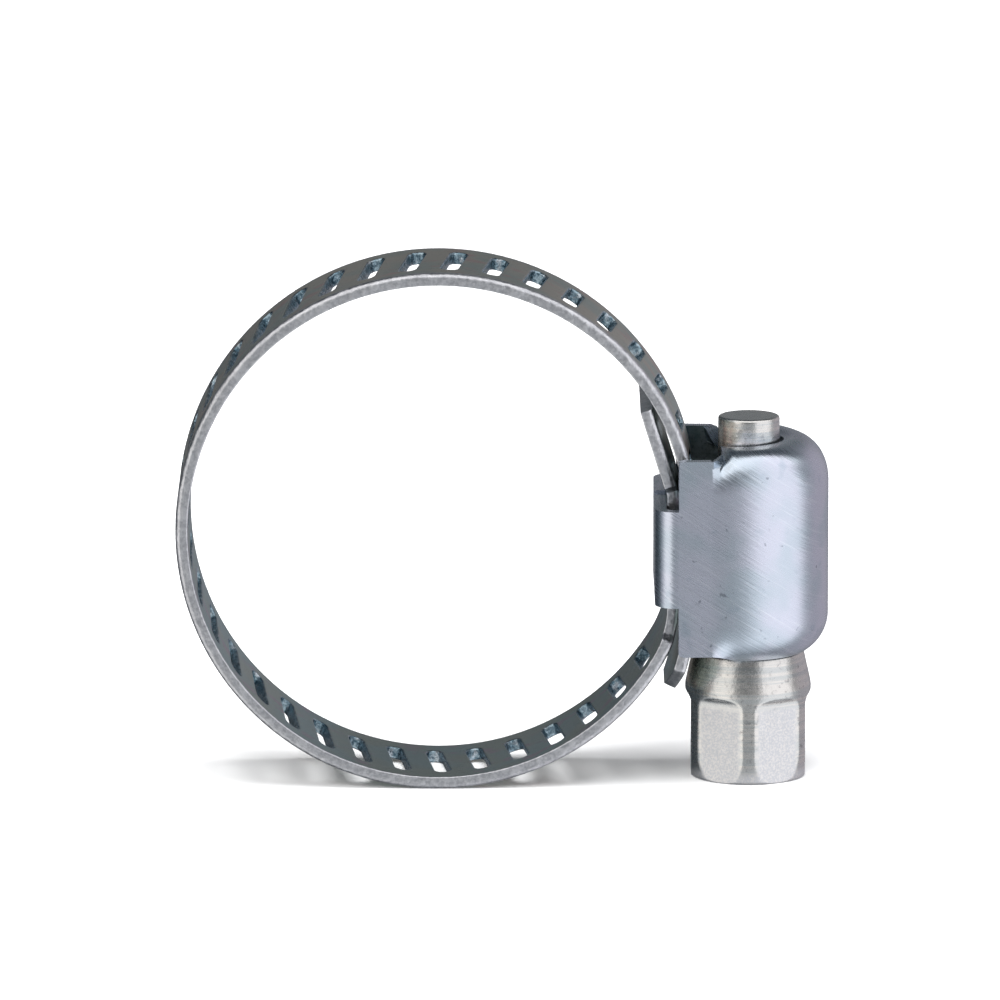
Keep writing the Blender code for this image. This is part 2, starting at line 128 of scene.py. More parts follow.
FLAT_RUN_OUT_TOP_Z = -0.00917
FLAT_RUN_OUT_RISE = 0.00030
FLAT_RUN_OUT_POWER = 4
FLAT_SOFTNESS = 0.00002
FLAT_COLUMNS = 24
CORNER_COLUMNS = 8
SOFT_CORNER = 0.00008
PROFILE_STEP = 0.00008

# ---------------------------------------------------------------- housing
SHEET = 0.0006
SHEET_EDGE_ROUND = 0.00014
SHEET_EDGE_ANGLE = radians(50)
FLAP_X = 0.01136
FLAP_TIP_Y = 0.00060
FLAP_TOP_Z = 0.00135
FLAP_BOTTOM_Z = -0.00378
FLAP_BEND_RADIUS = 0.00115
WALL_HALF_WIDTH = 0.00550
WALL_TOP_Z = 0.00402
WALL_BOTTOM_Z = -0.00639
DOME_START_X = 0.01440
DOME_HALF_WIDTH = 0.00540
DOME_CREST_X = 0.02053
DOME_EXPONENT = 2.35
SHOULDER_START_X = 0.01445
SHOULDER_START_Z = 0.00215
SHOULDER_CLIMB = 0.6
SHOULDER_SHARE = (0.36, 0.75)
SHOULDER_POWER = (0.80, 1.00)
RIDGE_Z = 0.00440
HOLE_RADIUS = 0.00185
HOLE_EDGE_Z = 0.00415
HOLE_EDGE_TILT = 0.00010
HOLE_OPEN_ANGLE = radians(162)
RIM_START_Z = -0.00490
RIM_Z = -0.00686
RIM_RADIUS = 0.00220
RAMP_LENGTH = 0.00120
WALL_TOP_CORNER = 0.00024
WALL_BOTTOM_CORNER = 0.00040
FLAP_STEPS = 12
WALL_STEPS = 20
DOME_STEPS = 48
RIM_STEPS = 16
LEVEL_STEPS = 10
END_STEPS = 40

# ---------------------------------------------------------------- place of the ring's centre
CENTRE = Vector(((RING_OUTER_RADIUS - DOME_CREST_X) / 2, 0.0, RING_OUTER_RADIUS))


def add_object(name, data):
    """A new object with the given mesh, light or camera, linked into the scene."""
    thing = bpy.data.objects.new(name, data)
    bpy.context.scene.collection.objects.link(thing)
    return thing


# ================================================================ the band's centreline
def bend_between(start_x, end_x, start_heading, end_heading):
    """The radius that carries the centreline from start_x to end_x while its heading falls."""
    return (end_x - start_x) / (cos(end_heading) - cos(start_heading))


class Centreline:
    """The band's middle line in the XZ plane, as straights and arcs of falling heading."""

    def __init__(self, start, heading):
        self.spans = []
        self.place = start
        self.heading = heading
        self.length = 0.0

    def straight(self, length):
        self.spans.append((self.length, self.place, self.heading, None))
        self.place = self.point_on(self.spans[-1], length)[0]
        self.length += length

    def bend(self, radius, end_heading):
        length = radius * (self.heading - end_heading)
        self.spans.append((self.length, self.place, self.heading, radius))
        self.place = self.point_on(self.spans[-1], length)[0]
        self.heading = end_heading
        self.length += length

    @staticmethod
    def point_on(span, along):
        """The point (x, z) and the heading at a distance along one straight or arc."""
        (x, z), heading, radius = span[1:]
        if radius is None:
            return (x + along * sin(heading), z - along * cos(heading)), heading
        new = heading - along / radius
        centre_x = x - radius * cos(heading)
        centre_z = z - radius * sin(heading)
        return (centre_x + radius * cos(new), centre_z + radius * sin(new)), new

    def at(self, along):
        """The point (x, z) and the heading at a distance along the band."""
        chosen = self.spans[0]
        for span in self.spans:
            if span[0] <= along:
                chosen = span
        return self.point_on(chosen, along - chosen[0])

    def place_of(self, along, across, out):
        """The scene's point at a distance along, across the width and out of the middle surface."""
        (x, z), heading = self.at(along)
        return CENTRE + Vector((x + out * cos(heading), across, z + out * sin(heading)))


def build_centreline():
    """The whole band from the tongue's end, through the ring and the housing, to the tail."""
    pitch_angle = SLOT_PITCH / RING_MID_RADIUS
    first_heading = -pi / 2 + RING_START_SLOTS * pitch_angle
    last_heading = first_heading - RING_SECTIONS * SLOTS_PER_SECTION * pitch_angle
    start_x = FIXED_LAYER_X - TONGUE_LENGTH * sin(TONGUE_HEADING)
    start_x -= TONGUE_BEND_RADIUS * (1 - cos(TONGUE_HEADING))
    line = Centreline((start_x, TONGUE_TOP_Z), TONGUE_HEADING)
    line.straight(TONGUE_LENGTH)
    root = line.length
    line.bend(TONGUE_BEND_RADIUS, 0.0)
    exit_radius = bend_between(line.place[0], RING_MID_RADIUS * cos(first_heading), 0.0, first_heading)
    ring_start_z = RING_MID_RADIUS * sin(first_heading)
    line.straight(line.place[1] - (ring_start_z - exit_radius * sin(first_heading)))
    line.bend(exit_radius, first_heading)
    marks = {"tongue_root": root, "neck_end": root + line.at(root)[0][1] - NECK_BOTTOM_Z}
    marks["ring_start"] = line.length
    line.bend(RING_MID_RADIUS, last_heading)
    marks["ring_end"] = line.length
    full_turn = -2 * pi
    line.bend(bend_between(line.place[0], RUNNING_LAYER_X, last_heading, full_turn), full_turn)
    marks["drive_start"] = marks["ring_end"] + ENTRY_SLOTS * SLOT_PITCH
    marks["tail_start"] = marks["drive_start"] + DRIVE_SLOTS * SLOT_PITCH
    line.straight(marks["tail_start"] + TAIL_STRAIGHT_SLOTS * SLOT_PITCH - line.length)
    line.bend(TAIL_BEND_RADIUS, full_turn - TAIL_LENGTH / TAIL_BEND_RADIUS)
    marks["tail_end"] = line.length
    return line, marks


# ================================================================ the band's surface
OUTER_FACE, INNER_FACE, EDGE_FACE, SLOT_FACE = range(4)


class Strip:
    """One continuous skin of the band, built cell by cell in (along, across, out) and split later."""

    def __init__(self, line, half_width):
        self.line = line
        self.half_width = half_width
        self.lookup = {}
        self.points = []
        self.flat = []
        self.faces = []

    def point(self, along, across, out, skin=0):
        """The number of the skin's point at a place, which is made when it is first asked for."""
        key = tuple(round(value * PLACES_PER_METRE) for value in (along, across, out)) + (skin,)
        if key not in self.lookup:
            self.lookup[key] = len(self.points)
            scale = self.half_width(along) / (BAND_WIDTH / 2)
            self.points.append(self.line.place_of(along, across * scale, out))
            self.flat.append((along, across * scale))
        return self.lookup[key]

    def loft(self, first, second, cell, kind, skin=0):
        """Quads between two open rows of (along, across, out) points.

        Points are shared within a skin, so a second skin meets the first in a crisp edge.
        """
        low = [self.point(*place, skin) for place in first]
        high = [self.point(*place, skin) for place in second]
        for step in range(len(low) - 1):
            corners = (low[step], low[step + 1], high[step + 1], high[step])
            if len(set(corners)) > 2:
                self.faces.append((tuple(dict.fromkeys(corners)), cell, kind))

    def normals(self):
        """A normal for each point, weighted by the area of the faces around it."""
        total = [Vector((0.0, 0.0, 0.0)) for _ in self.points]
        for corners, _, _ in self.faces:
            first = self.points[corners[0]]
            area = Vector((0.0, 0.0, 0.0))
            for one, two in zip(corners[1:], corners[2:]):
                area += (self.points[one] - first).cross(self.points[two] - first)
            for corner in corners:
                total[corner] += area
        return [vector.normalized() for vector in total]


def rounding(radius, steps):
    """(inset, drop) pairs of a quarter circle from a flat face to the wall beside it."""
    places = []
    for step in range(steps + 1):
        angle = pi / 2 * step / steps
        places.append((radius * (1 - sin(angle)), radius * (1 - cos(angle))))
    return places


def edge_profile():
    """(across, out, kind) from the slot row on the outer face, round the edge, to the inner face."""
    half = BAND_THICKNESS / 2
    wide = BAND_WIDTH / 2
    places = [(SLOT_ROW, half, OUTER_FACE), ((SLOT_ROW + wide) / 2, half, OUTER_FACE)]
    for inset, drop in rounding(OUTER_EDGE_ROUND, ROUND_STEPS):
        places.append((wide - inset, half - drop, EDGE_FACE))
    for inset, drop in reversed(rounding(INNER_EDGE_ROUND, ROUND_STEPS)):
        places.append((wide - inset, drop - half, EDGE_FACE))
    places += [((SLOT_ROW + wide) / 2, -half, INNER_FACE), (SLOT_ROW, -half, INNER_FACE)]
    return places


def add_edges(strip, columns, cell):
    """The margins of a stretch on both sides, from the slot row round the band's edge."""
    profile = edge_profile()
    for side in (-1, 1):
        for (one, one_out, _), (two, two_out, kind) in zip(profile, profile[1:]):
            first = [(along, side * one, one_out) for along in columns]
            second = [(along, side * two, two_out) for along in columns]
            if side < 0:
                first, second = second, first
            strip.loft(first, second, cell, kind)


def rows_between():
    """The places across the band where a cell's rows meet, from one slot row to the other."""
    return [SLOT_ROW * (2 * step / SIDE_STEPS - 1) for step in range(SIDE_STEPS + 1)]


def add_plain_cell(strip, start, end, cell):
    """A stretch of the band with no slot."""
    columns = [start + (end - start) * step / CELL_STEPS for step in range(CELL_STEPS + 1)]
    half = BAND_THICKNESS / 2
    for one, two in zip(rows_between(), rows_between()[1:]):
        for out, kind in ((half, OUTER_FACE), (-half, INNER_FACE)):
            first = [(along, one, out) for along in columns]
            second = [(along, two, out) for along in columns]
            if out < 0:
                first, second = second, first
            strip.loft(first, second, cell, kind)
    add_edges(strip, columns, cell)


def slot_outline():
    """The slot's stadium outline as (place, normal) pairs, anticlockwise in (along, across).

    The long sides take SIDE_STEPS each and the middle of each round end takes CELL_STEPS.
    """
    radius = SLOT_WIDTH / 2
    reach = SLOT_LENGTH / 2 - radius
    places = []
    side_length = 2 * reach + radius * pi / 2
    for turn in (0, 1):
        for step in range(SIDE_STEPS):
            travelled = side_length * step / SIDE_STEPS
            if travelled < radius * pi / 4:
                places.append((-pi / 4 + travelled / radius, -reach, turn))
            elif travelled < side_length - radius * pi / 4:
                places.append((0.0, travelled - radius * pi / 4 - reach, turn))
            else:
                places.append((pi / 4 - (side_length - travelled) / radius, reach, turn))
        for step in range(CELL_STEPS):
            places.append((pi / 4 + pi / 2 * step / CELL_STEPS, reach, turn))
    outline = []
    for angle, centre, turn in places:
        flip = -1 if turn else 1
        normal = (flip * cos(angle), flip * sin(angle))
        place = (radius * normal[0], flip * centre + radius * normal[1])
        outline.append((slanted(*place), slanted(*normal)))
    return outline


def slanted(along, across):
    """A place or direction in an upright slot, turned to the slots' slant."""
    return (
        along * cos(SLOT_SLANT) + across * sin(SLOT_SLANT),
        across * cos(SLOT_SLANT) - along * sin(SLOT_SLANT),
    )


def cell_border():
    """The cell's border around a slot, point for point with slot_outline."""
    half = SLOT_PITCH / 2
    border = []
    for turn in (1, -1):
        for step in range(SIDE_STEPS):
            border.append((turn * half, turn * SLOT_ROW * (2 * step / SIDE_STEPS - 1)))
        for step in range(CELL_STEPS):
            border.append((turn * half * (1 - 2 * step / CELL_STEPS), turn * SLOT_ROW))
    return border


def add_slot_cell(strip, start, cell):
    """One pitch of the band with its punched slot, whose rims are rolled on both faces."""
    centre = start + SLOT_PITCH / 2
    half = BAND_THICKNESS / 2
    outline = slot_outline()
    border = cell_border()

    def ring(inset, out):
        places = [(centre + x + inset * nx, y + inset * ny, out) for (x, y), (nx, ny) in outline]
        return places + places[:1]

    def between(inset, share, out):
        places = []
        for (near_along, near_across, _), (x, y) in zip(ring(inset, out), border):
            along = near_along + share * (centre + x - near_along)
            places.append((along, near_across + share * (y - near_across), out))
        return places + places[:1]

    rings = []
    for share in (1.0, 0.5):
        rings.append((between(OUTER_RIM_ROUND, share, half), OUTER_FACE))
    for inset, drop in rounding(OUTER_RIM_ROUND, ROUND_STEPS):
        rings.append((ring(inset, half - drop), OUTER_FACE))
    for inset, drop in reversed(rounding(INNER_RIM_ROUND, ROUND_STEPS)):
        rings.append((ring(inset, drop - half), INNER_FACE))
    for share in (0.5, 1.0):
        rings.append((between(INNER_RIM_ROUND, share, -half), INNER_FACE))
    wall = 2 + ROUND_STEPS + 1
    for index, ((first, _), (second, kind)) in enumerate(zip(rings, rings[1:]), 1):
        near_wall = abs(index - wall) <= ROUND_STEPS - 1
        strip.loft(first, second, cell, SLOT_FACE if near_wall else kind)
    columns = [centre - SLOT_PITCH / 2 + SLOT_PITCH * step / CELL_STEPS for step in range(CELL_STEPS + 1)]
    add_edges(strip, columns, cell)


def add_cap(strip, along, cell, facing):
    """The cut end of the band, closed from the outer face to the inner one."""
    half = BAND_THICKNESS / 2
    profile = [place[:2] for place in edge_profile()]
    side = len(profile) // 2
    outer = profile[1:side]
    inner = list(reversed(profile[side:-1]))
    first = [(along, -row, out) for row, out in reversed(outer)]
    first += [(along, row, half) for row in rows_between()]
    first += [(along, row, out) for row, out in outer]
    second = [(along, -row, out) for row, out in reversed(inner)]
    second += [(along, row, -half) for row in rows_between()]
    second += [(along, row, out) for row, out in inner]
    if facing > 0:
        first, second = second, first
    strip.loft(first, second, cell, EDGE_FACE, skin=1)


def smooth_step(value):
    """0 below zero, 1 above one, and a smooth rise between them."""
    share = min(1.0, max(0.0, value))
    return share * share * (3 - 2 * share)


def band_half_width(marks):
    """A function for half of the band's width at a distance along it: ears, neck and tapered tail."""
    taper_start = marks["tail_end"] - TAIL_TAPER_LENGTH

    def half_width(along):
        inset = NECK_INSET * smooth_step((along - EAR_LENGTH) / NECK_CORNER)
        inset -= NECK_INSET * smooth_step((along - marks["neck_end"] + NECK_CORNER) / NECK_CORNER)
        inset += TAIL_TAPER_INSET * max(0.0, along - taper_start) / TAIL_TAPER_LENGTH
        return BAND_WIDTH / 2 - inset

    return half_width


def plain_breaks(marks, seam):
    """The borders of the plain cells from the tongue's end, over the seam, to the ring's start."""
    neck_end, ring_start = marks["neck_end"], marks["ring_start"]
    widening = neck_end - NECK_CORNER
    breaks = [0.0, EAR_LENGTH / 2, EAR_LENGTH, EAR_LENGTH + NECK_CORNER, marks["tongue_root"], seam]
    breaks += [(seam + widening) / 2, widening, neck_end, (neck_end + ring_start) / 2, ring_start]
    return breaks


def build_strip(line, marks):
    """The whole band as one skin, and the cell numbers at which the pieces part."""
    strip = Strip(line, band_half_width(marks))
    first_seam = marks["tongue_root"] + TONGUE_SEAM_REACH
    breaks = plain_breaks(marks, first_seam)
    cell = 0
    for start, end in zip(breaks, breaks[1:]):
        add_plain_cell(strip, start, end, cell)
        cell += 1
    add_cap(strip, 0.0, 0, -1)
    seams = [0, breaks.index(first_seam)]
    for slot in range(RING_SECTIONS * SLOTS_PER_SECTION + ENTRY_SLOTS):
        if slot % SLOTS_PER_SECTION == SEAM_SLOT and slot < RING_SECTIONS * SLOTS_PER_SECTION:
            seams.append(cell)
        add_slot_cell(strip, marks["ring_start"] + slot * SLOT_PITCH, cell)
        cell += 1
    seams.append(cell)
    for slot in range(DRIVE_SLOTS + TAIL_SLOTS):
        add_slot_cell(strip, marks["drive_start"] + slot * SLOT_PITCH, cell)
        cell += 1
    last_slot_end = marks["tail_start"] + TAIL_SLOTS * SLOT_PITCH
    taper_start = marks["tail_end"] - TAIL_TAPER_LENGTH
    for start, end in ((last_slot_end, taper_start), (taper_start, marks["tail_end"])):
        add_plain_cell(strip, start, end, cell)
        cell += 1
    add_cap(strip, marks["tail_end"], cell - 1, 1)
    seams.append(cell)
    return strip, seams


def strip_piece(name, strip, normals, first_cell, last_cell, materials):
    """One object from the strip's cells, with the whole strip's normals so that seams don't show."""
    faces = [face for face in strip.faces if first_cell <= face[1] < last_cell]
    used = sorted({corner for corners, _, _ in faces for corner in corners})
    place = {corner: index for index, corner in enumerate(used)}
    mesh = bpy.data.meshes.new(name)
    mesh.from_pydata(
        [strip.points[corner] for corner in used],
        [],
        [[place[corner] for corner in corners] for corners, _, _ in faces],
    )
    for material in materials:
        mesh.materials.append(material)
    for polygon, (_, _, kind) in zip(mesh.polygons, faces):
        polygon.material_index = kind
    layout = mesh.uv_layers.new(name="strip")
    for corner, loop in zip(layout.data, mesh.loops):
        along, across = strip.flat[used[loop.vertex_index]]
        corner.uv = (along * UV_PER_METRE, across * UV_PER_METRE)
    mesh.shade_smooth()
    mesh.normals_split_custom_set_from_vertices([normals[corner] for corner in used])
    piece = add_object(name, mesh)
    return piece


def add_band(line, marks, materials):
    """The band in pieces that meet between two hinges."""
    strip, seams = build_strip(line, marks)
    normals = strip.normals()
    section = SLOTS_PER_SECTION * SLOT_PITCH
    names = [f"section_{number:02d}" for number in range(1, RING_SECTIONS + 1)]
    joints = [("housing", "tongue", marks["tongue_root"], -TONGUE_BLEND_REACH)]
    joints += [
        (first, second, marks["ring_start"] + number * section, BLEND_REACH)
        for number, (first, second) in enumerate(zip(["housing"] + names, names + ["entry_section"]))
    ]
    joints.append(("drive_section", "tail_tip", marks["tail_start"], BLEND_REACH))
    stands_for = [["band_tongue"], ["band_fixed_end"]]
    stands_for += [["band_" + name] for name in names[:-1]]
    stands_for += [["band_" + names[-1], "band_entry_section"], ["band_drive_section", "band_tail_tip"]]
    for number, (first, second, pivot, reach) in enumerate(joints):
        piece_name = f"band_{number:02d}"
        piece = strip_piece(piece_name, strip, normals, seams[number], seams[number + 1], materials)
        start = line.place_of(pivot - reach, 0.0, 0.0)
        end = line.place_of(pivot + reach, 0.0, 0.0)
        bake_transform(piece)
        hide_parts(*stands_for[number])


# ================================================================ the screw
def round_corner(profile, steps=5, longest_share=0.49):
    """A (radius, z, rounding) profile as plain (radius, z) points with its corners rounded.

    A rounding takes no more than the longest share of the side it lies on.
    """
    rounded = [profile[0][:2]]
    for before, here, after in zip(profile, profile[1:], profile[2:]):
        corner = Vector(here[:2])
        to_before = Vector(before[:2]) - corner
        to_after = Vector(after[:2]) - corner
        reach = min(here[2], to_before.length * longest_share, to_after.length * longest_share)
        start = corner + to_before.normalized() * reach
        end = corner + to_after.normalized() * reach
        if reach == 0.0:
            rounded.append(tuple(corner))
            continue
        for step in range(steps + 1):
            share = step / steps
            place = start * (1 - share) ** 2 + corner * 2 * share * (1 - share) + end * share**2
            rounded.append(tuple(place))
    rounded.append(profile[-1][:2])
    return rounded


def refined(profile, longest, slack=0.001):
    """The profile with extra points, so that no step is longer than the given length, with some slack."""
    fine = [profile[0]]
    for (r0, z0), (r1, z1) in zip(profile, profile[1:]):
        count = max(1, ceil(hypot(r1 - r0, z1 - z0) / longest - slack))
        for step in range(1, count + 1):
            share = step / count
            fine.append((r0 + (r1 - r0) * share, z0 + (z1 - z0) * share))
    return fine


def soft_min(first, second, softness):
    """The smaller of two lengths, with a soft change between them."""
    blend = min(1.0, max(0.0, 0.5 + 0.5 * (second - first) / softness))
    return second + (first - second) * blend - softness * blend * (1 - blend)


def hex_radius(angle):
    """The distance from the screw's axis to the hexagon's side; a corner faces -Y."""
    turn = (angle + pi / 2) % (pi / 3) - pi / 6
    return HEX_ACROSS_FLATS / 2 / cos(turn)


def flat_rise(z):
    """How far the flats have run out of the head at a height, where the forming die leaves them."""
    share = (z - FLAT_RUN_OUT_START_Z) / (FLAT_RUN_OUT_TOP_Z - FLAT_RUN_OUT_START_Z)
    return FLAT_RUN_OUT_RISE * max(0.0, share) ** FLAT_RUN_OUT_POWER


def thread_share(angle, z, meshing_z):
    """0 in the thread's root and 1 on its crest, for the right-hand worm."""
    phase = (z - meshing_z - (angle - pi) / (2 * pi) * SLOT_PITCH) / SLOT_PITCH
    offset = abs(phase - round(phase)) * SLOT_PITCH
    flank = (WORM_ROOT_WIDTH - WORM_CREST_WIDTH) / 2
    share = smooth_step((WORM_CREST_WIDTH / 2 + flank - offset) / flank)
    run_out = min(z - WORM_BOTTOM_Z, WORM_TOP_Z - z) / WORM_RUN_OUT
    return share * smooth_step(run_out)


def screw_profile():
    """The turned outline from the head's end to the journal's, as (radius, z, corner rounding)."""
    return [
        (0.0, HEAD_BOTTOM_Z, 0.0),
        (HEAD_END_RADIUS, HEAD_BOTTOM_Z, HEAD_END_ROUND),
        (HEX_CORNER_RADIUS, HEAD_BOTTOM_Z + HEAD_TAPER_HEIGHT, HEAD_TAPER_ROUND),
        (HEX_CORNER_RADIUS, HEAD_TOP_Z, SOFT_CORNER),
        (COLLAR_RADIUS, COLLAR_BOTTOM_Z, COLLAR_FOOT_ROUND),
        (COLLAR_RADIUS, COLLAR_BOTTOM_Z + COLLAR_LAND, COLLAR_ROUND),
        (COLLAR_TOP_RADIUS, COLLAR_TOP_Z, COLLAR_ROUND),
        (NECK_RADIUS, COLLAR_TOP_Z, SOFT_CORNER),
        (NECK_RADIUS, NECK_END_Z, SOFT_CORNER),
        (WORM_ROOT_RADIUS, ROOT_START_Z, SOFT_CORNER),
        (WORM_ROOT_RADIUS, CORE_TOP_Z, SOFT_CORNER),
        (JOURNAL_RADIUS, JOURNAL_START_Z, SOFT_CORNER),
        (JOURNAL_RADIUS, JOURNAL_TOP_Z, JOURNAL_ROUND),
        (0.0, JOURNAL_TOP_Z, 0.0),
    ]


def screw_angles():
    """The columns round the screw, with one on every edge between a flat and a corner."""
    edge = acos(HEX_ACROSS_FLATS / 2 / HEX_CORNER_RADIUS)
    corner = pi / 3 - 2 * edge
    angles = []
    for side in range(6):
        middle = side * pi / 3
        angles += [middle - edge + 2 * edge * step / FLAT_COLUMNS for step in range(FLAT_COLUMNS)]
        angles += [middle + edge + corner * step / CORNER_COLUMNS for step in range(CORNER_COLUMNS)]
    return angles


def add_screw(material, meshing_z):
    """The worm screw as one turned skin, with its hexagon and its thread shaped in."""
    profile = refined(round_corner(screw_profile()), PROFILE_STEP)
    angles = screw_angles()
    count = len(angles)
    points = [CENTRE + Vector((SCREW_X, 0.0, profile[0][1]))]
    rings = profile[1:-1]
    for radius, z in rings:
        for angle in angles:
            reach = radius
            if z < FLAT_RUN_OUT_TOP_Z:
                flat = hex_radius(angle) + flat_rise(z)
                reach = soft_min(radius, flat, FLAT_SOFTNESS)
            if WORM_BOTTOM_Z < z < WORM_TOP_Z:
                reach += (WORM_CREST_RADIUS - WORM_ROOT_RADIUS) * thread_share(angle, z, meshing_z)
            points.append(CENTRE + Vector((SCREW_X + reach * cos(angle), reach * sin(angle), z)))
    points.append(CENTRE + Vector((SCREW_X, 0.0, profile[-1][1])))
    faces = []
    last = 1 + (len(rings) - 1) * count
    for step in range(count):
        after = (step + 1) % count
        faces.append((0, 1 + after, 1 + step))
        for ring in range(len(rings) - 1):
            low = 1 + ring * count
            high = low + count
            faces.append((low + step, low + after, high + after, high + step))
        faces.append((last + step, last + after, len(points) - 1))
    mesh = bpy.data.meshes.new("screw")
    mesh.from_pydata(points, [], faces)
    mesh.materials.append(material)
    mesh.shade_smooth()
    screw = add_object("screw", mesh)
    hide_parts("worm_screw")
    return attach(screw, "screw")


# ================================================================ the housing
def housing_outline():
    """Half of the outer cross-section, from the flap's tip to the dome's crest, as (x, y, part)."""
    outline = []
    bend_x = FLAP_X + FLAP_BEND_RADIUS
    bend_y = WALL_HALF_WIDTH - FLAP_BEND_RADIUS
    for step in range(FLAP_STEPS):
        outline.append((FLAP_X, FLAP_TIP_Y + (bend_y - FLAP_TIP_Y) * step / FLAP_STEPS, "flap"))
    for step in range(FLAP_STEPS + 1):
        angle = pi - pi / 2 * step / FLAP_STEPS
        x = bend_x + FLAP_BEND_RADIUS * cos(angle)
        y = bend_y + FLAP_BEND_RADIUS * sin(angle)
        outline.append((x, y, "flap"))
    for step in range(1, WALL_STEPS + 1):
        x = bend_x + (DOME_START_X - bend_x) * step / WALL_STEPS
        y = WALL_HALF_WIDTH + (DOME_HALF_WIDTH - WALL_HALF_WIDTH) * step / WALL_STEPS
        outline.append((x, y, "wall"))
    reach = DOME_CREST_X - DOME_START_X
    for step in range(1, DOME_STEPS + 1):
        angle = pi / 2 * (1 - step / DOME_STEPS)
        x = DOME_START_X + reach * cos(angle) ** (2 / DOME_EXPONENT)
        y = DOME_HALF_WIDTH * sin(angle) ** (2 / DOME_EXPONENT)
        outline.append((x, y, "dome"))
    return outline


def dome_share(x):
    """0 on the wall and 1 on the dome, with a smooth rise where its closed end begins."""
    return smooth_step((x - SHOULDER_START_X) / RAMP_LENGTH)


def corner_drop(x, radius):
    """How far the wall's rounded corner cuts into its edge."""
    short = max(0.0, radius - (x - FLAP_X - FLAP_BEND_RADIUS))
    return radius - sqrt(max(0.0, radius**2 - short**2))


def end_point(x, y, climb):
    """A point of the closed end: up the shoulder first, and then across the end to the hole."""
    share = dome_share(x)
    angle = min(1.0, climb / SHOULDER_CLIMB) * pi / 2
    across = max(0.0, (climb - SHOULDER_CLIMB) / (1 - SHOULDER_CLIMB))
    away_x = x - SCREW_X
    towards_crest = max(0.0, away_x / (DOME_CREST_X - SCREW_X)) ** 2
    reach = SHOULDER_SHARE[0] + towards_crest * (SHOULDER_SHARE[1] - SHOULDER_SHARE[0])
    power = SHOULDER_POWER[0] + towards_crest * (SHOULDER_POWER[1] - SHOULDER_POWER[0])
    first_angle = atan2(DOME_HALF_WIDTH, DOME_START_X - SCREW_X)
    hole_angle = atan2(y, away_x) * HOLE_OPEN_ANGLE / first_angle
    inward = share * (reach * (1 - max(0.0, cos(angle)) ** power) + (1 - reach) * across)
    edge_z = RIDGE_Z + (HOLE_EDGE_Z - RIDGE_Z + HOLE_EDGE_TILT * cos(hole_angle)) * smooth_step(across)
    dome_z = SHOULDER_START_Z + (edge_z - SHOULDER_START_Z) * sin(angle) ** power
    wall_top = WALL_TOP_Z - corner_drop(x, WALL_TOP_CORNER)
    wall_z = SHOULDER_START_Z + (wall_top - SHOULDER_START_Z) * climb
    return (
        SCREW_X + away_x + inward * (HOLE_RADIUS * cos(hole_angle) - away_x),
        y + inward * (HOLE_RADIUS * sin(hole_angle) - y),
        wall_z + share * (dome_z - wall_z),
    )


def rim_point(x, y, z):
    """A point of the lower edge, which draws in towards the screw as it goes down."""
    share = dome_share(x)
    away_x = x - SCREW_X
    drop = RIM_START_Z - z
    inset = share * (RIM_RADIUS - sqrt(RIM_RADIUS**2 - drop**2))
    distance = hypot(away_x, y)
    scale = (distance - inset) / distance
    wall_bottom = WALL_BOTTOM_Z + corner_drop(x, WALL_BOTTOM_CORNER)
    lowest = RIM_Z + (1 - share) * (wall_bottom - RIM_Z)
    low_share = drop / (RIM_START_Z - RIM_Z)
    return (SCREW_X + away_x * scale, y * scale, RIM_START_Z + (lowest - RIM_START_Z) * low_share)


def housing_point(x, y, level):
    """The outer surface's point for an outline point and a level of the straight part, end or rim."""
    kind, value = level
    if kind == "end":
        return end_point(x, y, value)
    if kind == "rim":
        return rim_point(x, y, value)
    return (x, y, value)


def housing_levels():
    """The levels from the rim to the hole's edge, with the flap's limits among them."""
    drop = RIM_Z - RIM_START_Z
    levels = [("rim", RIM_START_Z + drop * step / RIM_STEPS) for step in range(RIM_STEPS, 0, -1)]
    stops = (RIM_START_Z, FLAP_BOTTOM_Z, FLAP_TOP_Z, SHOULDER_START_Z)
    for low, high in zip(stops, stops[1:]):
        levels += [("z", low + (high - low) * step / LEVEL_STEPS) for step in range(LEVEL_STEPS)]
    levels.append(("z", SHOULDER_START_Z))
    levels += [("end", step / END_STEPS) for step in range(1, END_STEPS + 1)]
    return levels


